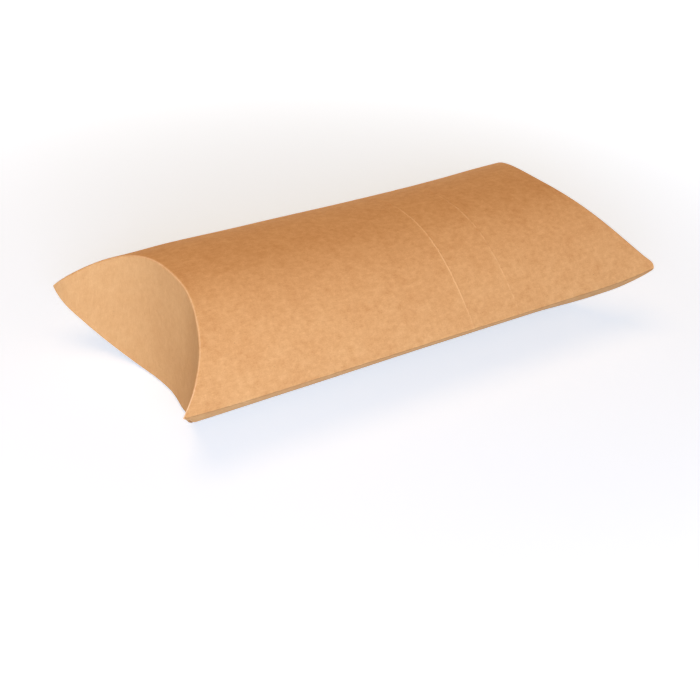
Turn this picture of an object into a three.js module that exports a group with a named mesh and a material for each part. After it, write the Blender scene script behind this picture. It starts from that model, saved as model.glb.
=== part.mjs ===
// Kraft pillow box for one taco: a single creased sheet, glued along one side, closed by bowed
// flaps at both ends and torn open along two perforations that free a strip and an end cap.
// Millimetres, +Z up, +X along the box towards the tear-off cap, origin under the box's middle.
import * as THREE from 'three';

// Driving dimensions
const board = 0.5; // thickness of the kraft board
const width = 88; // from side crease to side crease
const length = 187; // between the end arcs along a side crease, before the tips are rounded
const crownRise = 21.8; // top panel's rise above the side creases
const bellyDrop = 19.7; // bottom panel's drop below the side creases
const endInset = 19.5; // how far the end arcs cut in at mid-width
const crownPower = 2.35; // fullness of the top panel's bow and of the end arcs
const bellyPower = 1.8; // fullness of the bottom panel's bow outside its flat middle
const restWidth = 18; // flat middle of the bottom panel, on which the box stands
const tipCut = 1.5; // how far rounding shortens the corner at a side crease
const tipRun = 3.6; // distance from the side crease over which a tip is rounded
const capLength = 63.3; // from the cap's tips to its perforation
const stripWidth = 19.4; // tear strip, from perforation to perforation
const perforationCut = 0.3; // width of the cut that a perforation leaves
const creaseGap = 0.3; // clearance between leaves that meet or lie on each other
const flapTipGap = 2.2; // an end flap stops this far short of the side creases
const flapHem = 0.9; // lower edge of an end flap above the underside
const innerFlapHeight = 26; // inner flap at mid-width, from its crease to its free edge
const tabWidth = 9; // glue tab, across the box
const tabInset = 1.8; // glue tab's upper edge in from the side crease
const tabEndGap = 6; // glue tab's ends, behind the end arcs
const glueThickness = 0.15; // dried adhesive film
const glueGap = 0.1; // clearance on both faces of the film
const glueMargin = 1.5; // the film stops this far inside the tab's edges
const steps = 48; // facets across a panel
const seamSteps = 10; // facets across the glue tab

// Places that follow from them
const halfWidth = width / 2;
const halfLength = length / 2;
const creaseHeight = bellyDrop;
const secondTear = halfLength - capLength;
const firstTear = secondTear - stripWidth;
const outerFlapLayer = 0;
const topEndLayer = board + creaseGap;
const innerFlapLayer = board + creaseGap;
const bottomEndLayer = 2 * (board + creaseGap);
const glueLayer = board + glueGap;
const tabLayer = glueLayer + glueThickness + glueGap;

const kraft = new THREE.MeshStandardMaterial({ color: 0xdca873, roughness: 0.92, metalness: 0 });
const kraftInside = new THREE.MeshStandardMaterial({ color: 0xcf9f70, roughness: 0.95, metalness: 0 });
const adhesive = new THREE.MeshStandardMaterial({ color: 0xe9e2cf, roughness: 0.5, metalness: 0 });

// Length along a normal, measured along an axis that the surface slopes against
function alongAxis(surface, y, depth) {
  const small = 0.01;
  const slope = (surface(y + small) - surface(y - small)) / (2 * small);
  return depth * Math.hypot(1, slope);
}

// Bowed section of the top panel: highest at mid-width, down to the side creases
function crownFace(y) {
  return creaseHeight + crownRise * (1 - Math.abs(y / halfWidth) ** crownPower);
}

// Section of the bottom panel: flat in the middle, bowing up to the side creases
function bellyFace(y) {
  const bend = Math.max(0, Math.abs(y) - restWidth / 2) / (halfWidth - restWidth / 2);
  return bellyDrop * bend ** bellyPower;
}

// Plan of an end: an arc that cuts in at mid-width, rounded where it meets the side creases
function endFace(y) {
  const arc = endInset * (1 - Math.abs(y / halfWidth) ** crownPower);
  const turn = Math.max(0, Math.abs(y) - (halfWidth - tipRun)) / tipRun;
  return halfLength - arc - tipCut * turn ** 2;
}

const crown = (y, depth) => crownFace(y) - alongAxis(crownFace, y, depth);
const belly = (y, depth) => bellyFace(y) + alongAxis(bellyFace, y, depth);
const endOf = (y, depth) => endFace(y) - alongAxis(endFace, y, depth);

// Half-width at which a bowed surface reaches a height near the side crease
function reachOf(surface, height) {
  let inside = halfWidth / 2;
  let outside = halfWidth;
  const rising = surface(outside) > surface(inside);
  for (let i = 0; i < 40; i += 1) {
    const middle = (inside + outside) / 2;
    const passed = rising ? surface(middle) > height : surface(middle) < height;
    if (passed) outside = middle;
    else inside = middle;
  }
  return inside;
}

// Closed solid through a row of four-cornered sections, capped at both ends
function loft(sections) {
  const points = sections.flat();
  const index = [];
  const quad = (a, b, c, d) => index.push(a, b, c, a, c, d);
  for (let i = 0; i + 1 < sections.length; i += 1) {
    for (let corner = 0; corner < 4; corner += 1) {
      const next = (corner + 1) % 4;
      quad(4 * i + corner, 4 * i + next, 4 * i + 4 + next, 4 * i + 4 + corner);
    }
  }
  const last = points.length - 4;
  quad(3, 2, 1, 0);
  quad(last, last + 1, last + 2, last + 3);
  let volume = 0;
  for (let i = 0; i < index.length; i += 3) {
    const [a, b, c] = [points[index[i]], points[index[i + 1]], points[index[i + 2]]];
    volume += a.dot(new THREE.Vector3().crossVectors(b, c));
  }
  if (volume < 0) index.reverse();
  const geometry = new THREE.BufferGeometry().setFromPoints(points);
  geometry.setIndex(index);
  geometry.computeVertexNormals();
  return geometry;
}

// Stations across the box, from one limit to the other
const across = (from, to, count) =>
  Array.from({ length: count + 1 }, (_, i) => from + ((to - from) * i) / count);

// Three lengths of the box along X, each between an end or a perforation and the next
const lengths = {
  sleeve: { from: (y, depth) => -endOf(y, depth), to: () => firstTear - perforationCut / 2 },
  tear_strip: { from: () => firstTear + perforationCut / 2, to: () => secondTear - perforationCut / 2 },
  cap: { from: () => secondTear + perforationCut / 2, to: (y, depth) => endOf(y, depth) },
};

// A leaf's end lies behind the end flaps, and comes forward where they stop, beside the side creases
function behindFlaps(y, depth) {
  const room = (halfWidth - Math.abs(y)) / (flapTipGap - creaseGap);
  return depth * THREE.MathUtils.clamp(room, 0, 1);
}

// Leaf between an outer and an inner face, each a bowed surface with its own limits across the box
function leaf(run, endDepth, outer, inner, count) {
  const outerRow = across(outer.from, outer.to, count);
  const innerRow = across(inner.from, inner.to, count);
  return loft(outerRow.map((outerY, i) => {
    const innerY = innerRow[i];
    const outerDepth = behindFlaps(outerY, endDepth);
    const innerDepth = behindFlaps(innerY, endDepth);
    return [
      new THREE.Vector3(run.from(outerY, outerDepth), outerY, outer.face(outerY)),
      new THREE.Vector3(run.to(outerY, outerDepth), outerY, outer.face(outerY)),
      new THREE.Vector3(run.to(innerY, innerDepth), innerY, inner.face(innerY)),
      new THREE.Vector3(run.from(innerY, innerDepth), innerY, inner.face(innerY)),
    ];
  }));
}

// Face of a main panel, ending at the side creases with half the crease's clearance
function panelFace(face, height) {
  const reach = reachOf(face, height);
  return { face, from: -reach, to: reach };
}

function topPanel(run) {
  const edge = creaseHeight + creaseGap / 2;
  const outer = panelFace((y) => crown(y, 0), edge);
  const inner = panelFace((y) => crown(y, board), edge);
  return leaf(run, topEndLayer, outer, inner, steps);
}

function bottomPanel(run) {
  const edge = creaseHeight - creaseGap / 2;
  const outer = panelFace((y) => belly(y, 0), edge);
  const inner = panelFace((y) => belly(y, board), edge);
  return leaf(run, bottomEndLayer, outer, inner, steps);
}

// Band that lies on the inside of the bottom panel beside the far side crease
function seamBand(run, layer, thickness, margin) {
  const to = halfWidth - tabInset - margin;
  const from = halfWidth - tabInset - tabWidth + margin;
  const endDepth = bottomEndLayer + tabEndGap + margin;
  const outer = { face: (y) => belly(y, layer), from, to };
  const inner = { face: (y) => belly(y, layer + thickness), from, to };
  return leaf(run, endDepth, outer, inner, seamSteps);
}

// End flap: an upright wall bowed along the end arc, between two heights that vary across it
function endFlap(side, layer, low, high) {
  const reach = halfWidth - flapTipGap;
  return loft(across(-reach, reach, steps).map((y) => {
    const outerX = side * endOf(y, layer);
    const innerX = side * endOf(y, layer + board);
    return [
      new THREE.Vector3(outerX, y, low(y)),
      new THREE.Vector3(outerX, y, high(y)),
      new THREE.Vector3(innerX, y, high(y)),
      new THREE.Vector3(innerX, y, low(y)),
    ];
  }));
}

const outerFlap = (side) =>
  endFlap(side, outerFlapLayer, (y) => belly(y, 0) + flapHem, (y) => crown(y, 0));

// The inner flap keeps one share of the gape all the way to its tips
function innerFlap(side) {
  const gape = (y) => crown(y, 0) - belly(y, 0);
  const share = innerFlapHeight / gape(0);
  const low = (y) => belly(y, 0) + flapHem;
  return endFlap(side, innerFlapLayer, low, (y) => low(y) + share * (gape(y) - flapHem));
}

function piece(name, geometry, material) {
  const mesh = new THREE.Mesh(geometry, material);
  mesh.name = name;
  return mesh;
}

const box = new THREE.Group();
for (const [name, run] of Object.entries(lengths)) {
  const part = new THREE.Group();
  part.add(piece(`${name}_top_panel`, topPanel(run), kraft));
  part.add(piece(`${name}_bottom_panel`, bottomPanel(run), kraft));
  part.add(piece(`${name}_glue_tab`, seamBand(run, tabLayer, board, 0), kraftInside));
  part.add(piece(`${name}_glue_line`, seamBand(run, glueLayer, glueThickness, glueMargin), adhesive));
  box.add(part);
}
for (const [name, side] of [['left', -1], ['right', 1]]) {
  const end = new THREE.Group();
  end.add(piece(`${name}_outer_flap`, outerFlap(side), kraft));
  end.add(piece(`${name}_inner_flap`, innerFlap(side), kraftInside));
  box.add(end);
}

export default box;
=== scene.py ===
import bpy
import numpy as np
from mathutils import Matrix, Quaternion, Vector


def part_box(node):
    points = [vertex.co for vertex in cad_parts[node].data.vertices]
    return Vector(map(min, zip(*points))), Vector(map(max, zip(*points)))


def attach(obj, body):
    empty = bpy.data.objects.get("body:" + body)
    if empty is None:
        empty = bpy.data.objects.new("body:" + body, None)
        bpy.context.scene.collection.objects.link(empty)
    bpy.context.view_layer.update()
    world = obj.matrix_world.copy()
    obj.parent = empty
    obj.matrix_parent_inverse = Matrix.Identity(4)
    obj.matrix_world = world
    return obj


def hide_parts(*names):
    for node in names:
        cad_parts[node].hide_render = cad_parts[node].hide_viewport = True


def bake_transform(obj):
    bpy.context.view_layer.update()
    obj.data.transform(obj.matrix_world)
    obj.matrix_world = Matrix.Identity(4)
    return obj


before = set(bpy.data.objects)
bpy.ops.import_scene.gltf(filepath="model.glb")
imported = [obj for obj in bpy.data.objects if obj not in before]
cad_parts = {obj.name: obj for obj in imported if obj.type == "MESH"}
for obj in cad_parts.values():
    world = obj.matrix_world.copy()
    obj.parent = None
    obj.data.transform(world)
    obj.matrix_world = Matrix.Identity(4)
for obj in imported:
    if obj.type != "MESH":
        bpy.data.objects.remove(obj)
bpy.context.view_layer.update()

# The sheet's form, shared by every leaf
board = {
    "thickness": 0.0005,
    "halfWidth": 0.044,  # middle to side crease
    "halfLength": 0.0935,  # middle to where an end arc would meet a side crease
    "rise": 0.0218,  # top panel above the side creases
    "drop": 0.0197,  # bottom panel below them
    "inset": 0.0195,  # how far the end arcs cut in at mid-width
    "crownPower": 2.35,
    "bellyPower": 1.8,
    "restHalf": 0.009,  # half of the flat strip that the box stands on
    "tipCuts": {-1: (0.0001, 0.0025), 1: (0.0024, 0.0020)},  # left and right end: near tip, far tip
    "tipRuns": {-1: (0.0036, 0.0062), 1: (0.0024, 0.0046)},  # from the side creases
    "foldRadius": 0.0007,  # outside of an end crease
    "foldFade": 0.004,  # the end creases sharpen over this width beside a tip
    "foldLeast": 0.08,  # share of the radius that is left at a tip
    "arcSteps": 6,
    "noMark": 0.02,  # farther from a crease or a cut than any mark reaches
    "sharpAngle": 35,  # edges that turn more are drawn sharp
}

# The perforations, from the gaps that the frame leaves
perforation = {
    "frameCut": 0.0003,  # gap in the frame
    "slit": 0.00006,  # gap that shows
    "pitch": 0.0031,  # from tie to tie
    "tieReach": 0.00022,  # a torn tie stands out or in by up to this
    "tieWidth": 0.00028,
    "tieTurn": 2.4,  # step along a sine from tie to tie, which gives each its own height
    "rows": (0, 0.00008, 0.0002, 0.0004, 0.0009, 0.0018),  # distances from the cut
    "lift": (-0.00002, 0.00005, 0.00004, 0.00001, 0, 0),  # burr beside the cut
    "starts": (-0.0002, -0.0004),  # from their places in the frame, along X: first cut, second cut
    "leans": (0.0038, 0.0031),  # towards the cap on the far side
    "leanRun": (-0.040, 0.012),  # part of the width over which they lean
}
stripLow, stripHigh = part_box("tear_strip_top_panel")
tears = (stripLow.x - perforation["frameCut"] / 2, stripHigh.x + perforation["frameCut"] / 2)


# Even form of the sheet

def crownHeight(y):  # drop + rise * (1 - |y / halfWidth| ^ crownPower)
    return board["drop"] + board["rise"] * (1 - np.abs(y / board["halfWidth"]) ** board["crownPower"])


def bellyHeight(y):  # drop * (share of the way from the flat strip to the crease) ^ bellyPower
    share = np.maximum(0, np.abs(y) - board["restHalf"]) / (board["halfWidth"] - board["restHalf"])
    return board["drop"] * share ** board["bellyPower"]


# halfLength - inset * (1 - |y / halfWidth| ^ crownPower) - tip cut * (share of tip run) ^ 2
def endReach(y, side):
    arc = board["inset"] * (1 - np.abs(y / board["halfWidth"]) ** board["crownPower"])
    cut, run = (np.where(y < 0, *board[name][side]) for name in ("tipCuts", "tipRuns"))
    turn = np.maximum(0, np.abs(y) - (board["halfWidth"] - run)) / run
    return board["halfLength"] - arc - cut * turn ** 2


def slopeOf(curve, y, *rest, step=1e-6):
    return (curve(y + step, *rest) - curve(y - step, *rest)) / (2 * step)


def smooth(share):
    share = np.clip(share, 0, 1)
    return share * share * (3 - 2 * share)


def shareAlong(place, run):  # 0 up to the start of the run, 1 from its end on
    return smooth((place - run[0]) / (run[1] - run[0]))


def alongPlaces(x, places, values):  # the values at their places along X, with smooth steps between
    steps = zip(zip(places, places[1:]), np.diff(values))
    return values[0] + sum(step * shareAlong(x, run) for run, step in steps)


def cutPlace(cut, y):  # the cut's start plus its lean, which grows in a smooth step across the width
    lean = perforation["leans"][cut] * shareAlong(y, perforation["leanRun"])
    return tears[cut] + perforation["starts"][cut] + lean


# How this box departs from its even form
bends = {
    "fullPower": 2.8,  # the right end is fuller at its shoulders than crownPower makes it
    "fullDip": 0.00065,  # and lower at mid-width
    "fullRun": (0.030, 0.085),  # along X
    "fullShares": (0.6, 1.0),  # near side, far side
    "crownPlaces": (-0.075, -0.060, -0.030, 0.015, 0.050, 0.072),  # along X
    "crownLifts": (0.0, 0.0006, 0.0001, -0.00045, -0.00035, 0.0),  # the crown's swell and sag there
    "leastBow": 0.05,  # least share of the rise that a flap's height is measured against
    "bellyPlaces": (-0.085, -0.050, 0.0, 0.045, 0.075),  # along X
    "nearBelly": (1.85, 1.8, 1.7, 1.7, 1.95),  # power of the bottom panel's bow there, near side
    "farBelly": (2.4, 1.8, 1.8, 1.8, 1.9),  # far side
    "leastGape": 0.0002,  # least depth that a flap's depth is measured against
    "leftRun": (-0.050, -0.085),  # the left end's own form grows along X over this
    "leftMoves": ((0.00105, -0.0325, 0.0085), (-0.00038, -0.003, 0.008)),  # top crease: move, y, width
    "leftTip": 0.0013,  # its near tip reaches out by this
    "leftTipRun": 0.006,
    "leftSpread": (0.00075, 0.0015),  # its bottom crease reaches out: at the near tip, away from it
    "leftSpreadRuns": (0.008, 0.014),  # from the tip, from mid-width
    "tipLifts": {-1: (0.0008, 0.0), 1: (0.0019, 0.0012)},  # the tips curl up: as in tipCuts
    "tipLiftRun": 0.028,  # along X
    "tipLiftWidth": 0.016,
}


# The crown's own form: its swell and sag along X, and the right end's shoulders, which are what
# fullPower adds over crownPower, less a dip at mid-width. The top panel takes all of it, and a flap
# takes a share by its height.
def crownLift(x, y, z):
    across = np.minimum(1, np.abs(y) / board["halfWidth"])
    more = board["rise"] * (across ** board["crownPower"] - across ** bends["fullPower"])
    more = more * np.where(y < 0, *bends["fullShares"]) - bends["fullDip"] * (1 - across ** 2)
    swell = alongPlaces(x, bends["crownPlaces"], bends["crownLifts"]) * (1 - across ** 2)
    bow = np.maximum(bends["leastBow"], 1 - across ** board["crownPower"])
    height = np.clip((z - board["drop"]) / (board["rise"] * bow), 0, 1)
    return height * (swell + shareAlong(x, bends["fullRun"]) * more)


# How far a point lies below the side creases: 0 at their level, 1 on the bottom panel
def depthShare(y, z):
    gape = np.maximum(bends["leastGape"], board["drop"] - bellyHeight(y))
    return np.clip((board["drop"] - z) / gape, 0, 1)


# The bottom panel's own bow: what the power at each place along X adds over bellyPower. From half way
# down, a flap takes all of it.
def bellyLift(x, y, z):
    across = np.clip((np.abs(y) - board["restHalf"]) / (board["halfWidth"] - board["restHalf"]), 0, 1)
    near, far = (alongPlaces(x, bends["bellyPlaces"], bends[name]) for name in ("nearBelly", "farBelly"))
    power = np.where(y < 0, near, far)
    more = board["drop"] * (across ** power - across ** board["bellyPower"])
    return np.minimum(1, 2 * depthShare(y, z)) * more


# The left end's creases along X: bell curves and a square at the near tip move the top crease, a smooth
# step moves the bottom crease, and a flap between them takes a share of both
def creaseMove(x, y, z):
    top = sum(move * np.exp(-((y - middle) / width) ** 2) for move, middle, width in bends["leftMoves"])
    turn = np.clip(1 - (board["halfWidth"] + y) / bends["leftTipRun"], 0, 1)
    tipRun, middleRun = bends["leftSpreadRuns"]
    atTip, inside = bends["leftSpread"]
    spread = atTip + (inside - atTip) * smooth((board["halfWidth"] + y) / tipRun)
    low = depthShare(y, z)
    move = (top - bends["leftTip"] * turn ** 2) * (1 - low) - spread * smooth(-y / middleRun) * low
    return shareAlong(x, bends["leftRun"]) * move


# The curl of the tips: a tip's lift times the squared shares of the way out to it along X and Y
def tipLift(x, y):
    out = np.clip(1 - (board["halfLength"] - np.abs(x)) / bends["tipLiftRun"], 0, 1)
    aside = np.clip(1 - (board["halfWidth"] - np.abs(y)) / bends["tipLiftWidth"], 0, 1)
    left, right = (np.where(y < 0, *bends["tipLifts"][side]) for side in (-1, 1))
    return np.where(x < 0, left, right) * out ** 2 * aside ** 2


def settle(points):
    x, y, z = np.moveaxis(points, -1, 0)
    settled = points.copy()
    settled[..., 0] += creaseMove(x, y, z)
    settled[..., 2] += crownLift(x, y, z) + bellyLift(x, y, z) + tipLift(x, y)
    return settled


# Closed solid from two grids of points that face each other: both grids, and a rim of two strips that
# meet on a line half way through the board. Two attributes ride on the points. The sheet has the place
# on the flat board and the layer, which is 0 outside, 1 inside and a half on the rim's line. The marks
# are the distances from an end crease, a side crease and a cut.
def boardSolid(name, outer, inner, flat, marks):
    rows, columns = outer.shape[:2]
    count = rows * columns
    ids = np.arange(count).reshape(rows, columns)
    ring = np.concatenate([ids[0, :-1], ids[:-1, -1], ids[-1, :0:-1], ids[:0:-1, 0]])
    middle = 2 * count + np.arange(len(ring))
    points = settle(np.concatenate([outer.reshape(-1, 3), inner.reshape(-1, 3)]))
    points = np.concatenate([points, (points[ring] + points[ring + count]) / 2])
    cells = np.stack([ids[:-1, :-1], ids[1:, :-1], ids[1:, 1:], ids[:-1, 1:]], -1).reshape(-1, 4)
    onward, middleOn = np.roll(ring, -1), np.roll(middle, -1)
    quads = np.concatenate([
        cells, cells[:, ::-1] + count,
        np.stack([ring, onward, middleOn, middle], -1),
        np.stack([middle, middleOn, onward + count, ring + count], -1)])
    a, b, c, d = (points[quads[:, corner]] for corner in range(4))
    volume = np.einsum("ij,ij->", a + b + c + d, np.cross(c - a, d - b))
    if volume < 0:
        quads = quads[:, ::-1]
    place, mark = flat.reshape(-1, 2), marks.reshape(-1, 3)
    sheet = np.zeros((len(points), 3))
    sheet[:, :2] = np.concatenate([place, place, place[ring]])
    sheet[count:2 * count, 2] = 1
    sheet[2 * count:, 2] = 0.5
    mesh = bpy.data.meshes.new(name)
    mesh.vertices.add(len(points))
    mesh.vertices.foreach_set("co", points.ravel())
    mesh.loops.add(quads.size)
    mesh.loops.foreach_set("vertex_index", quads.ravel())
    mesh.polygons.add(len(quads))
    mesh.polygons.foreach_set("loop_start", np.arange(0, quads.size, 4))
    mesh.update(calc_edges=True)
    mesh.polygons.foreach_set("use_smooth", np.ones(len(quads), bool))
    mesh.set_sharp_from_angle(angle=np.radians(board["sharpAngle"]))
    for label, values in (("sheet", sheet), ("marks", np.concatenate([mark, mark, mark[ring]]))):
        layer = mesh.attributes.new(label, "FLOAT_VECTOR", "POINT")
        layer.data.foreach_set("vector", values.astype(np.float32).ravel())
    thing = bpy.data.objects.new(name, mesh)
    bpy.context.scene.collection.objects.link(thing)
    return thing


# One value in a material: an output socket that takes part in Python expressions
class Wire:
    def __init__(self, tree, socket=None):
        self.tree, self.socket = tree, socket

    def node(self, kind, settings=None, inputs=None, output=0):
        made = self.tree.nodes.new(kind)
        for key, value in (settings or {}).items():
            setattr(made, key, value)
        for key, value in (inputs or {}).items():
            if isinstance(value, Wire):
                self.tree.links.new(value.socket, made.inputs[key])
            else:
                made.inputs[key].default_value = value
        return Wire(self.tree, made.outputs[output] if made.outputs else None)

    def math(self, operation, *values):
        return self.node("ShaderNodeMath", {"operation": operation}, dict(enumerate(values)))

    def __add__(self, other):
        return self.math("ADD", self, other)

    def __sub__(self, other):
        return self.math("SUBTRACT", self, other)

    def __mul__(self, other):
        return self.math("MULTIPLY", self, other)

    def __rsub__(self, other):
        return self.math("SUBTRACT", other, self)

    def __lt__(self, other):
        return self.math("LESS_THAN", self, other)

    def __abs__(self):
        return self.math("ABSOLUTE", self)

    __radd__ = __add__
    __rmul__ = __mul__


def newLook(name):
    material = bpy.data.materials.new(name)
    material.use_nodes = True
    material.node_tree.nodes.clear()
    return material, Wire(material.node_tree)


def colour(red, green, blue):  # screen colour, 0 to 255, as the linear colour that a socket takes
    share = np.array([red, green, blue]) / 255
    linear = np.where(share > 0.04045, ((share + 0.055) / 1.055) ** 2.4, share / 12.92)
    return (*linear, 1.0)


def attribute(start, name):
    return start.node("ShaderNodeAttribute", {"attribute_name": name}, output="Vector")


def partsOf(vector):
    return [vector.node("ShaderNodeSeparateXYZ", None, {0: vector}, axis) for axis in "XYZ"]


def fade(wire, full, gone):  # 1 up to full, 0 from gone on, smooth between
    return wire.node("ShaderNodeMapRange", {"interpolation_type": "SMOOTHSTEP"},
                     {"Value": wire, "From Min": full, "From Max": gone, "To Min": 1.0, "To Max": 0.0})


def grow(wire, none, full):  # 0 up to none, 1 from full on
    return wire.node("ShaderNodeMapRange", {"interpolation_type": "SMOOTHSTEP"},
                     {"Value": wire, "From Min": none, "From Max": full, "To Min": 0.0, "To Max": 1.0})


def mixColour(factor, first, second):
    return factor.node("ShaderNodeMix", {"data_type": "RGBA"}, {0: factor, 6: first, 7: second}, 2)


def noise(place, scale, detail=2.0, rough=0.5):
    return place.node("ShaderNodeTexNoise", {"noise_dimensions": "3D"},
                      {"Vector": place, "Scale": scale, "Detail": detail, "Roughness": rough})


def stretched(place, scale, angle=0.0, shift=0.0):
    return place.node("ShaderNodeMapping", {"vector_type": "POINT"}, {
        "Vector": place, "Location": (shift, 2 * shift, 0), "Rotation": (0, 0, angle), "Scale": scale})


def weighted(wires, weights):  # sum of the named values times their weights
    return sum(wires[label] * weight for label, weight in weights.items())


# Kraft board. A line's pair of widths is where it is full and where it is gone.
kraft = {
    "deep": (208, 156, 100),
    "pale": (231, 189, 132),
    "mottles": {  # scale, detail and roughness of a noise
        "cloud": (70, 2.0, 0.5),
        "blotch": (210, 2.0, 0.5),
        "mottle": (520, 3.0, 0.6),
        "grain": (2300, 2.0, 0.5),
    },
    "streakScale": (280, 900, 500),
    "streakDetail": 3.0,
    "hairs": {"pale": (0.3, 0.1), "thin": (1.35, 0.4), "dark": (-0.9, 0.7)},  # angle, shift
    "hairScale": (260, 2600, 900),
    "hairWidth": 0.035,
    "mottleTones": {"cloud": 0.45, "blotch": 0.6, "mottle": 1.25, "grain": 0.85, "streak": 0.45},
    "hairTones": {"pale": 0.14, "thin": 0.10, "dark": -0.16},
    "flapFrom": (0.14, 0.15),  # along the sheet, where panels end and flaps begin
    "flapCalm": 0.45,  # a flap's mottle is weaker by this
    "inside": (206, 160, 112),
    "insideShares": (0.5, 0.85),  # of the inner face's own colour: outer leaves, inner leaves
    "fleck": (150, 106, 66),
    "fleckShare": 0.45,
    "fleckNoises": ((1500, 0.72, 0.78), (300, 0.5, 0.62)),  # scale, none up to, full from
    "core": (222, 190, 146),  # cut edge of the board
    "coreShare": 0.8,
    "ragScale": 900,
    "ragReach": 0.00035,  # the lines' edges wander by this
    "cream": (250, 222, 180),  # stretched fibres of a crease; stronger at the tips, where it also paints the fold's highlight
    "creaseLine": (0.00005, 0.00026),
    "creaseShares": (0.30, 0.75),  # along the end creases, at their tips
    "creaseTip": (0.040, 0.048),  # from the middle of the sheet, where the tips begin
    "tipWiden": 0.4,  # a crease's pale line is wider at the tips
    # painted shade: a dark line along the side creases, in place of the shade in a scored groove
    "sideCreaseShade": (160, 114, 72),
    "sideCreaseShadeLine": (0.00005, 0.00022),
    "sideCreaseShadeShare": 0.4,
    "lintAndHighlight": (250, 212, 156),  # pale fibres beside a perforation, partly a painted highlight of the burr catching the light
    "cutLine": (0.00006, 0.00036),
    "cutRag": 0.6,  # share of the wander
    "cutShares": (0.58, 0.46),  # first perforation, second perforation
    "breakScale": 300,
    "breakLimits": (0.42, 0.56),  # the pale line is missing up to, whole from
    "firstWhole": 0.2,  # the first perforation has fewer breaks
    "lintAndHighlightNear": (-0.050, -0.036),  # the pale line fades towards the near crease
    "lintAndHighlightFar": (0.001, 0.008),  # and past the crown
    "lintAndHighlightLeast": (0.35, 0.12),  # to this
    "reliefs": {"grain": 0.45, "mottle": 0.35, "pale": 0.3, "thin": 0.25, "dark": -0.2},
    "bumpStrength": 0.35,
    "bumpDepth": 0.00006,
    "roughness": 0.86,
    "roughSpread": 0.12,
    "gloss": 0.22,
}


# Fine dark or pale hairs: thin crests of a noise that is drawn out along one direction
def fibres(place, angle, shift):
    turned = stretched(place, kraft["hairScale"], angle, shift)
    return fade(abs(noise(turned, 1.0, 1.0) - 0.5), 0, kraft["hairWidth"])


# Pale line beside the perforations: torn fibres, and partly a painted highlight of the burr catching the
# light. It is broken in places, and fainter on the second cut, near the crease and past the crown
def lintAndHighlightShare(sheet, along, across, distance):
    firstLine = along < sum(tears) / 2
    first, second = kraft["cutShares"]
    brightness = second + firstLine * (first - second)
    patches = noise(sheet, kraft["breakScale"]) + firstLine * kraft["firstWhole"]
    broken = grow(patches, *kraft["breakLimits"])
    nearLeast, farLeast = kraft["lintAndHighlightLeast"]
    near = nearLeast + grow(across, *kraft["lintAndHighlightNear"]) * (1 - nearLeast)
    far = farLeast + fade(across, *kraft["lintAndHighlightFar"]) * (1 - farLeast)
    return fade(distance, *kraft["cutLine"]) * brightness * broken * (near * far)


def kraftLook(name, inside):
    material, start = newLook(name)
    sheet, marks = attribute(start, "sheet"), attribute(start, "marks")
    along, across, layer = partsOf(sheet)
    fold, side, cut = partsOf(marks)
    mottles = {label: noise(sheet, *form) for label, form in kraft["mottles"].items()}
    mottles["streak"] = noise(stretched(sheet, kraft["streakScale"]), 1.0, kraft["streakDetail"])
    hairs = {label: fibres(sheet, *place) for label, place in kraft["hairs"].items()}
    spread = weighted({label: mottle - 0.5 for label, mottle in mottles.items()}, kraft["mottleTones"])
    calm = 1 - grow(abs(along), *kraft["flapFrom"]) * kraft["flapCalm"]
    tone = 0.5 + spread * calm + weighted(hairs, kraft["hairTones"])
    tone = tone.math("MINIMUM", tone.math("MAXIMUM", tone, 0.0), 1.0)
    shade = mixColour(tone, colour(*kraft["deep"]), colour(*kraft["pale"]))
    shade = mixColour(layer * kraft["insideShares"][inside], shade, colour(*kraft["inside"]))
    fleck, patch = (grow(noise(sheet, scale, 1.0), *limits) for scale, *limits in kraft["fleckNoises"])
    shade = mixColour(fleck * patch * kraft["fleckShare"], shade, colour(*kraft["fleck"]))
    rim = layer * (1 - layer) * 4  # 1 half way through the board
    shade = mixColour(rim * kraft["coreShare"], shade, colour(*kraft["core"]))
    ragged = (noise(sheet, kraft["ragScale"]) - 0.5) * kraft["ragReach"]
    # pale line along the end creases: stretched fibres, and at the tips also a painted highlight of the
    # fold
    tip = grow(abs(across), *kraft["creaseTip"])
    crease = fade((fold + ragged) * (1 - tip * kraft["tipWiden"]), *kraft["creaseLine"])
    faint, clear = kraft["creaseShares"]
    shade = mixColour(crease * (faint + tip * (clear - faint)), shade, colour(*kraft["cream"]))
    # painted shade along the side creases
    sideCreaseShade = fade(side + ragged, *kraft["sideCreaseShadeLine"])
    shade = mixColour(sideCreaseShade * kraft["sideCreaseShadeShare"], shade, colour(*kraft["sideCreaseShade"]))
    # pale torn fibres beside the cuts, partly a painted highlight
    lintAndHighlight = lintAndHighlightShare(sheet, along, across, cut + ragged * kraft["cutRag"])
    shade = mixColour(lintAndHighlight, shade, colour(*kraft["lintAndHighlight"]))
    bump = start.node("ShaderNodeBump", None, {
        "Strength": kraft["bumpStrength"], "Distance": kraft["bumpDepth"],
        "Height": weighted({**mottles, **hairs}, kraft["reliefs"])})
    roughness = kraft["roughness"] + (mottles["mottle"] - 0.5) * kraft["roughSpread"]
    surface = start.node("ShaderNodeBsdfPrincipled", None, {
        "Base Color": shade, "Roughness": roughness, "Specular IOR Level": kraft["gloss"], "Normal": bump})
    start.node("ShaderNodeOutputMaterial", None, {"Surface": surface})
    return material


adhesive = {
    "pale": (232, 224, 200),
    "deep": (214, 201, 168),
    "swirlScale": 700,
    "swirlDetail": 3.0,
    "bumpStrength": 0.4,
    "bumpDepth": 0.0001,
    "roughness": 0.38,
    "roughSpread": 0.2,
}


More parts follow.
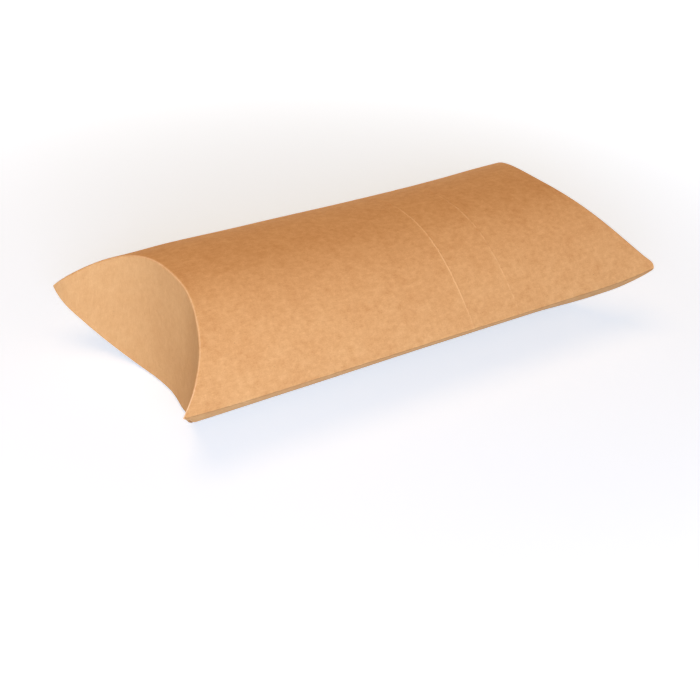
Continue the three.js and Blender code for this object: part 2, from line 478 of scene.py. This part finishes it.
def adhesiveLook():
    material, start = newLook("driedAdhesive")
    swirl = noise(attribute(start, "sheet"), adhesive["swirlScale"], adhesive["swirlDetail"])
    shade = mixColour(swirl, colour(*adhesive["deep"]), colour(*adhesive["pale"]))
    bump = start.node("ShaderNodeBump", None, {
        "Strength": adhesive["bumpStrength"], "Distance": adhesive["bumpDepth"], "Height": swirl})
    roughness = adhesive["roughness"] + swirl * adhesive["roughSpread"]
    surface = start.node("ShaderNodeBsdfPrincipled", None, {
        "Base Color": shade, "Roughness": roughness, "Normal": bump})
    start.node("ShaderNodeOutputMaterial", None, {"Surface": surface})
    return material


outsideLook = kraftLook("kraftOutside", False)
insideLook = kraftLook("kraftInside", True)
glueLook = adhesiveLook()
print("materials: kraft outside, kraft inside, adhesive")


def finishPiece(piece, material, node):
    piece.data.materials.append(material)
    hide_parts(node)


# Panels: three lengths of the tube, each with a top and a bottom leaf
panels = {
    "layers": {"top": 0.0, "bottom": 0.0008},  # the bottom panel folds up behind the outer flap
    "layerRun": 0.0019,  # it comes forward over this width beside a tip
    "rows": {"sleeve": 26, "tear_strip": 6, "cap": 18},  # between the rows of the two ends
    "foldFlats": (0.0004, 0.001, 0.002, 0.004, 0.008),  # rows behind an end crease
    "sideRadius": 0.0006,  # outside of a side crease
    "creaseSlit": 0.00012,  # dark line of the score along a side crease
    "brink": 2e-6,  # the slope at a side crease is taken this far inside it
    "columns": 420,
    "fineColumns": 4001,  # for measuring along the bow
}


def runLength(*axes):  # length along a polyline at each of its points
    steps = np.sqrt(sum(np.diff(axis) ** 2 for axis in axes))
    return np.concatenate([[0], np.cumsum(steps)])


# Section across a panel: even steps along its bow, then an arc at each end that turns its face to
# the side and stops short of the crease by half the slit. Gives y, z, outward normal and length, and
# burr, which is 1 on the face that the perforating rule leaves raised.
def panelSection(height, up):
    half, radius = board["halfWidth"], panels["sideRadius"]
    steep = np.arctan(abs(slopeOf(height, half - panels["brink"])))
    tangent = half - radius * np.cos(steep) ** 2 / np.sin(steep)
    fine = np.linspace(-tangent, tangent, panels["fineColumns"])
    run = runLength(fine, height(fine))
    y = np.interp(np.linspace(0, run[-1], panels["columns"]), run, fine)
    lean = slopeOf(height, y)
    size = np.hypot(1, lean)
    last = np.arcsin(panels["creaseSlit"] / 2 / radius)
    turn = np.linspace(np.pi / 2 - steep, last, board["arcSteps"] + 1)[1:]
    arcY = half - radius / np.sin(steep) + radius * np.cos(turn)
    arcZ = board["drop"] + up * radius * np.sin(turn)
    y, z, normalY, normalZ = (
        np.concatenate([start[::-1], middle, end]) for start, middle, end in (
            (-arcY, y, arcY), (arcZ, height(y), arcZ),
            (-np.cos(turn), -up * lean / size, np.cos(turn)),
            (up * np.sin(turn), up / size, up * np.sin(turn))))
    length = runLength(y, z)
    return {"y": y, "z": z, "normalY": normalY, "normalZ": normalZ, "length": length - length[-1] / 2,
            "burr": max(0, up)}


# Share of an end crease's full radius: 1 along the arc, small at the tips
def foldShare(y):
    return np.clip((board["halfWidth"] - np.abs(y)) / board["foldFade"], board["foldLeast"], 1)


# Rows that roll a panel's end over into its flap: a quarter turn about a line one radius inside both
# faces, then flat rows. Each row has how far it lies in from the wall and how deep under the face.
def foldRows(section):
    radius = board["foldRadius"] * foldShare(section["y"])[None, :]
    turn = np.linspace(np.pi / 2, 0, board["arcSteps"] + 1)[:, None]
    hollow = radius - board["thickness"]
    flat = np.array(panels["foldFlats"])[:, None]
    outerIn = np.vstack([radius * (1 - np.sin(turn)), radius + flat])
    outerDeep = np.vstack([radius * (1 - np.cos(turn)), 0 * (radius + flat)])
    innerIn = np.vstack([radius - hollow * np.sin(turn), radius + flat])
    innerDeep = np.vstack([radius - hollow * np.cos(turn), board["thickness"] + 0 * (radius + flat)])
    crest = np.vstack([radius * np.abs(turn - np.pi / 4), radius * np.pi / 4 + flat])
    return outerIn, outerDeep, innerIn, innerDeep, crest


# Rows beside a perforation: the cut's burr stands up beside it and sinks at its lip
def tearRows(section):
    away = np.array(perforation["rows"])[:, None] + 0 * section["y"][None, :]
    lift = section["burr"] * np.array(perforation["lift"])[:, None] + 0 * away
    return away, -lift, away, board["thickness"] - lift / 2, away


# A torn edge: at each tie, one pitch apart, a small rounded tooth of its own height, out or in
def tornEdge(length):
    tie = np.round(length / perforation["pitch"])
    tooth = np.exp(-((length - tie * perforation["pitch"]) / perforation["tieWidth"]) ** 2)
    return perforation["tieReach"] * np.sin(perforation["tieTurn"] * tie) * tooth


# One end of a panel: where its edge lies at each column, and the rows that lead in from it
def foldEdge(section, side, layer):
    y = section["y"]
    room = np.clip((board["halfWidth"] - np.abs(y)) / panels["layerRun"], 0, 1)
    stretch = np.hypot(1, slopeOf(endReach, y, side))
    place = side * (endReach(y, side) - layer * room * stretch)
    return {"place": place, "stretch": stretch, "inward": -side, "rows": foldRows(section), "fold": True}


def tearEdge(section, cut, inward):
    place = cutPlace(cut, section["y"]) + tornEdge(section["length"]) + inward * perforation["slit"] / 2
    return {"place": place, "stretch": np.ones_like(place), "inward": inward, "rows": tearRows(section),
            "fold": False}


def panelEnds(run, section, layer):
    if run == "sleeve":
        return foldEdge(section, -1, layer), tearEdge(section, 0, -1)
    if run == "cap":
        return tearEdge(section, 1, 1), foldEdge(section, 1, layer)
    return tearEdge(section, 0, 1), tearEdge(section, 1, -1)


# Panel between two ends: the rows of each end, with even rows between them. Both faces are the
# section moved along X, and pushed in along its normal by each row's depth.
def panelSurface(section, left, right, rowCount):
    xs, deeps, folds, cuts = {}, {}, [], []
    for face, (inRow, deepRow) in {"outer": (0, 1), "inner": (2, 3)}.items():
        first, last = (edge["place"] + edge["inward"] * edge["rows"][inRow] * edge["stretch"]
                       for edge in (left, right))
        share = np.linspace(0, 1, rowCount + 2)[1:-1, None]
        middle = first[-1] + (last[-1] - first[-1]) * share
        xs[face] = np.vstack([first, middle, last[::-1]])
        level = 0 * middle + (0 if face == "outer" else board["thickness"])
        deeps[face] = np.vstack([left["rows"][deepRow], level, right["rows"][deepRow][::-1]])
    blank = np.full((rowCount, len(section["y"])), board["noMark"])
    for edge in (left, right):
        away = edge["rows"][-1]
        unmarked = 0 * away + board["noMark"]
        folds.append(away if edge["fold"] else unmarked)
        cuts.append(unmarked if edge["fold"] else away)
    fold = np.vstack([folds[0], blank, folds[1][::-1]])
    cut = np.vstack([cuts[0], blank, cuts[1][::-1]])
    side = section["length"][-1] - np.abs(section["length"]) + 0 * fold
    outer, inner = (np.stack([xs[face], section["y"] - section["normalY"] * deeps[face],
                              section["z"] - section["normalZ"] * deeps[face]], -1) for face in xs)
    flat = np.stack([xs["outer"], section["length"] + 0 * fold], -1)
    return outer, inner, flat, np.stack([fold, side, cut], -1)


sections = {"top": panelSection(crownHeight, 1), "bottom": panelSection(bellyHeight, -1)}
for run, rowCount in panels["rows"].items():
    for level, section in sections.items():
        node = f"{run}_{level}_panel"
        left, right = panelEnds(run, section, panels["layers"][level])
        panel = boardSolid(node + "_board", *panelSurface(section, left, right, rowCount))
        finishPiece(panel, outsideLook, node)
        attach(panel, run)
print("panels: sleeve, tear strip, cap")

# End flaps: the outer one hangs from the top crease, the inner one stands on the bottom crease
flaps = {
    "hem": 0.0004,  # outer flap's free edge above the underside
    "innerShare": 0.6265,  # inner flap's share of the gape
    "creaseRows": (0, 0.006, 0.018, 0.04),  # shares of the height, close rows beside the crease
    "evenFrom": 0.08,  # then even rows
    "rows": {"outer": 26, "inner": 18},
    "shortest": 0.0003,  # a flap ends where its columns get this short
    "bendRun": 0.0275,  # from a flap's tip to the second point that flapBend gives
    "sheetStart": 0.15,  # the flat flap begins here, clear of the flat panels
}


# Points where a panel's end fold becomes its flap
def creaseLine(section, side, layer):
    edge = foldEdge(section, side, layer)
    deep = edge["rows"][1][0]
    return np.stack([edge["place"], section["y"] - section["normalY"] * deep,
                     section["z"] - section["normalZ"] * deep], -1)


def flapLines(ply, side):
    level = "top" if ply == "outer" else "bottom"
    section, layer = sections[level], panels["layers"][level]
    crease = creaseLine(section, side, layer)
    y = crease[:, 1]
    edge = foldEdge({**section, "y": y}, side, layer)["place"]
    freeZ = bellyHeight(y) + flaps["hem"]
    if ply == "inner":
        freeZ = freeZ + flaps["innerShare"] * (crownHeight(y) - bellyHeight(y) - flaps["hem"])
    free = np.stack([edge, y, freeZ], -1)
    drop = crease[:, 2] - freeZ
    keep = (drop if ply == "outer" else -drop) > flaps["shortest"]
    return crease[keep], free[keep]


# Flap: upright columns, each from a point on its crease to its free edge, bowed along the end arc.
# The inner face lies one thickness behind the outer one along the wall's level normal.
def flapSurface(crease, freeEdge, side, rowCount):
    share = np.concatenate([flaps["creaseRows"], np.linspace(flaps["evenFrom"], 1, rowCount)])
    share = share[:, None, None]
    outer = crease[None] * (1 - share) + freeEdge[None] * share
    slope = slopeOf(endReach, outer[..., 1], side)
    normal = np.stack([side + 0 * slope, -slope, 0 * slope], -1) / np.hypot(1, slope)[..., None]
    down = np.linalg.norm(outer - crease[None], axis=-1)
    flat = np.stack([side * (flaps["sheetStart"] + down), outer[..., 1]], -1)
    crest = board["foldRadius"] * foldShare(outer[..., 1]) * np.pi / 4
    unmarked = 0 * down + board["noMark"]
    marks = np.stack([down + crest, unmarked, unmarked], -1)
    return outer, outer - normal * board["thickness"], flat, marks


# Two points for a flap: the tip of its end, and a point one bendRun from it, inward and towards the flap's
# side of the crease. The loop below takes them and uses neither.
def flapBend(ply, side):
    tip = Vector((side * board["halfLength"], 0, board["drop"]))
    climb = board["rise"] if ply == "outer" else -board["drop"]
    inward = Vector((-side * abs(climb), 0, -np.sign(climb) * board["inset"])).normalized()
    return tip, tip + inward * flaps["bendRun"]


for name, side, parent in (("left", -1, "sleeve"), ("right", 1, "cap")):
    for ply, look, slot in (("outer", outsideLook, "kraft"), ("inner", insideLook, "kraft_inside")):
        node = f"{name}_{ply}_flap"
        crease, free = flapLines(ply, side)
        flap = boardSolid(node + "_board", *flapSurface(crease, free, side, flaps["rows"][ply]))
        finishPiece(flap, look, node)
        start, end = flapBend(ply, side)
        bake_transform(flap)
print("flaps: outer and inner at both ends")

# Glue tab and its film, on the inside of the bottom panel beside the far side crease
seam = {
    "inset": 0.0018,  # tab's upper edge in from the side crease
    "width": 0.009,
    "endGap": 0.0076,  # tab's ends, behind the end arcs
    "tearGap": 0.0001,
    "tabDepth": 0.00085,  # from the outside of the bottom panel
    "filmDepth": 0.0006,
    "film": 0.00015,
    "margin": 0.0015,  # the film stops this far inside the tab's edges
    "counts": (120, 24),  # stations along it, across it
    "sheetShift": 0.3,  # the flat seam lies clear of the flat panels
}


# Band on the inside of the bottom panel: the belly's curve pushed up along its normal by a depth
def bandSurface(fromY, toY, fromX, toX, depth, thickness):
    rows, columns = seam["counts"]
    y = np.linspace(fromY, toY, columns)[None, :] + np.zeros((rows, 1))
    share = np.linspace(0, 1, rows)[:, None]
    x = fromX(y) * (1 - share) + toX(y) * share
    lean = slopeOf(bellyHeight, y)
    size = np.hypot(1, lean)
    outer, inner = (np.stack([x, y - lean / size * deep, bellyHeight(y) + deep / size], -1)
                    for deep in (depth, depth + thickness))
    away = np.minimum(np.minimum(y - fromY, toY - y), np.minimum(x - x[:1], x[-1:] - x))
    unmarked = 0 * away + board["noMark"]
    flat = np.stack([x, y + seam["sheetShift"]], -1)
    return outer, inner, flat, np.stack([unmarked, unmarked, away], -1)


def seamEnds(run, margin):
    def arc(side):
        def reach(y):
            stretch = np.hypot(1, slopeOf(endReach, y, side))
            return side * (endReach(y, side) - (seam["endGap"] + margin) * stretch)
        return reach

    def tear(cut, inward):
        return lambda y: cutPlace(cut, y) + inward * seam["tearGap"]
    return {"sleeve": (arc(-1), tear(0, -1)), "tear_strip": (tear(0, 1), tear(1, -1)),
            "cap": (tear(1, 1), arc(1))}[run]


upper = board["halfWidth"] - seam["inset"]
for run in panels["rows"]:
    for part, margin, depth, thick, look, slot in (
            ("glue_tab", 0.0, seam["tabDepth"], board["thickness"], insideLook, "kraft_inside"),
            ("glue_line", seam["margin"], seam["filmDepth"], seam["film"], glueLook, "adhesive")):
        fromX, toX = seamEnds(run, margin)
        fromY, toY = upper - seam["width"] + margin, upper - margin
        piece = boardSolid(f"{run}_{part}_band", *bandSurface(fromY, toY, fromX, toX, depth, thick))
        finishPiece(piece, look, f"{run}_{part}")
        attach(piece, run)
print("seam: glue tabs and film")

# Studio: pale floor, one broad key from the left front, a warm light from above, and weak low lights
# from behind and from the right
studio = {
    "floorSize": 8.0,
    "floorTone": (210, 228, 248),  # cool, so that it looks white in the warm light
    "floorGlow": 0.51,  # on the rays that see the backdrop
    "glowTone": (0.93, 1.0, 1.075),
    "farGlow": 0.5,  # added away from the box
    "farRun": (0.10, 0.42),
    "worldTone": (1.03, 0.69, 0.42),
    "worldLevel": 0.23,
    "backdrop": (1.0, 1.0, 1.0),
    "backdropLevel": 1.0,
}
lamps = {
    "keyLight": {
        "place": (-0.50, -0.64, 0.18), "size": (0.5, 0.5), "power": 6.9, "tone": (0.92, 0.99, 1.215)},
    "topLight": {
        "place": (-0.20, 0.05, 0.85), "size": (0.7, 0.7), "power": 2.8, "tone": (1.0, 0.57, 0.24)},
    "backLight": {
        "place": (0.47, 0.72, 0.06), "size": (0.9, 0.1), "power": 2.1, "tone": (0.93, 0.90, 0.80)},
    "sideLight": {
        "place": (0.72, -0.06, 0.035), "size": (0.5, 0.05), "power": 1.1, "tone": (0.92, 0.99, 1.215)},
}


# 1 on the rays that see the white backdrop: from the camera, or by way of gloss or glass
def backdropRays(start):
    camera, gloss, glass = (start.node("ShaderNodeLightPath", output=ray)
                            for ray in ("Is Camera Ray", "Is Glossy Ray", "Is Transmission Ray"))
    return start.math("MAXIMUM", start.math("MAXIMUM", camera, gloss), glass)


def floorLook():
    material, start = newLook("paleFloor")
    seen = backdropRays(start)
    matte = start.node("ShaderNodeBsdfDiffuse", None, {"Color": colour(*studio["floorTone"])})
    place = start.node("ShaderNodeTexCoord", output="Object")
    away = start.node("ShaderNodeVectorMath", {"operation": "LENGTH"}, {0: place}, "Value")
    level = studio["floorGlow"] + grow(away, *studio["farRun"]) * studio["farGlow"]
    glow = start.node("ShaderNodeEmission", None, {
        "Color": (*studio["glowTone"], 1.0), "Strength": seen * level})
    both = start.node("ShaderNodeAddShader", None, {0: matte, 1: glow})
    start.node("ShaderNodeOutputMaterial", None, {"Surface": both})
    return material


def addFloor():
    half = studio["floorSize"] / 2
    corners = [(-half, -half, 0.0), (half, -half, 0.0), (half, half, 0.0), (-half, half, 0.0)]
    mesh = bpy.data.meshes.new("floor")
    mesh.from_pydata(corners, [], [(0, 1, 2, 3)])
    mesh.materials.append(floorLook())
    floor = bpy.data.objects.new("floor", mesh)
    bpy.context.scene.collection.objects.link(floor)


def addLight(name, place, size, power, tone):
    light = bpy.data.lights.new(name, "AREA")
    light.shape = "RECTANGLE"
    light.size, light.size_y = size
    light.energy, light.color = power, tone
    lamp = bpy.data.objects.new(name, light)
    lamp.location = place
    lamp.visible_camera = False
    lamp.rotation_euler = (-Vector(place)).to_track_quat("-Z", "Y").to_euler()
    bpy.context.scene.collection.objects.link(lamp)


def addWorld():
    world = bpy.data.worlds.new("softWorld")
    world.use_nodes = True
    world.node_tree.nodes.clear()
    start = Wire(world.node_tree)
    soft = start.node("ShaderNodeBackground", None, {
        "Color": (*studio["worldTone"], 1.0), "Strength": studio["worldLevel"]})
    white = start.node("ShaderNodeBackground", None, {
        "Color": (*studio["backdrop"], 1.0), "Strength": studio["backdropLevel"]})
    mixed = start.node("ShaderNodeMixShader", None, {0: backdropRays(start), 1: soft, 2: white})
    start.node("ShaderNodeOutputWorld", None, {"Surface": mixed})
    bpy.context.scene.world = world


view = {
    "place": (-0.2591, -0.3257, 0.2372),
    "aim": (-0.00445, -0.00087, -0.00582),
    "roll": 4.53,  # degrees
    "lens": 72.956,  # millimetres, on the sensor below
    "sensor": 36.0,
    "clip": (0.01, 50.0),
}


def addCamera():
    camera = bpy.data.cameras.new("photoView")
    camera.lens, camera.sensor_width, camera.sensor_fit = view["lens"], view["sensor"], "HORIZONTAL"
    camera.clip_start, camera.clip_end = view["clip"]
    holder = bpy.data.objects.new("photoView", camera)
    holder.location = view["place"]
    sight = Vector(view["aim"]) - Vector(view["place"])
    turn = sight.to_track_quat("-Z", "Y") @ Quaternion((0, 0, 1), np.radians(view["roll"]))
    holder.rotation_euler = turn.to_euler()
    bpy.context.scene.collection.objects.link(holder)
    bpy.context.scene.camera = holder


addFloor()
for name, lamp in lamps.items():
    addLight(name, **lamp)
addWorld()
addCamera()
bpy.context.scene.view_settings.view_transform = "Standard"
print("studio: floor, lights, world, camera")
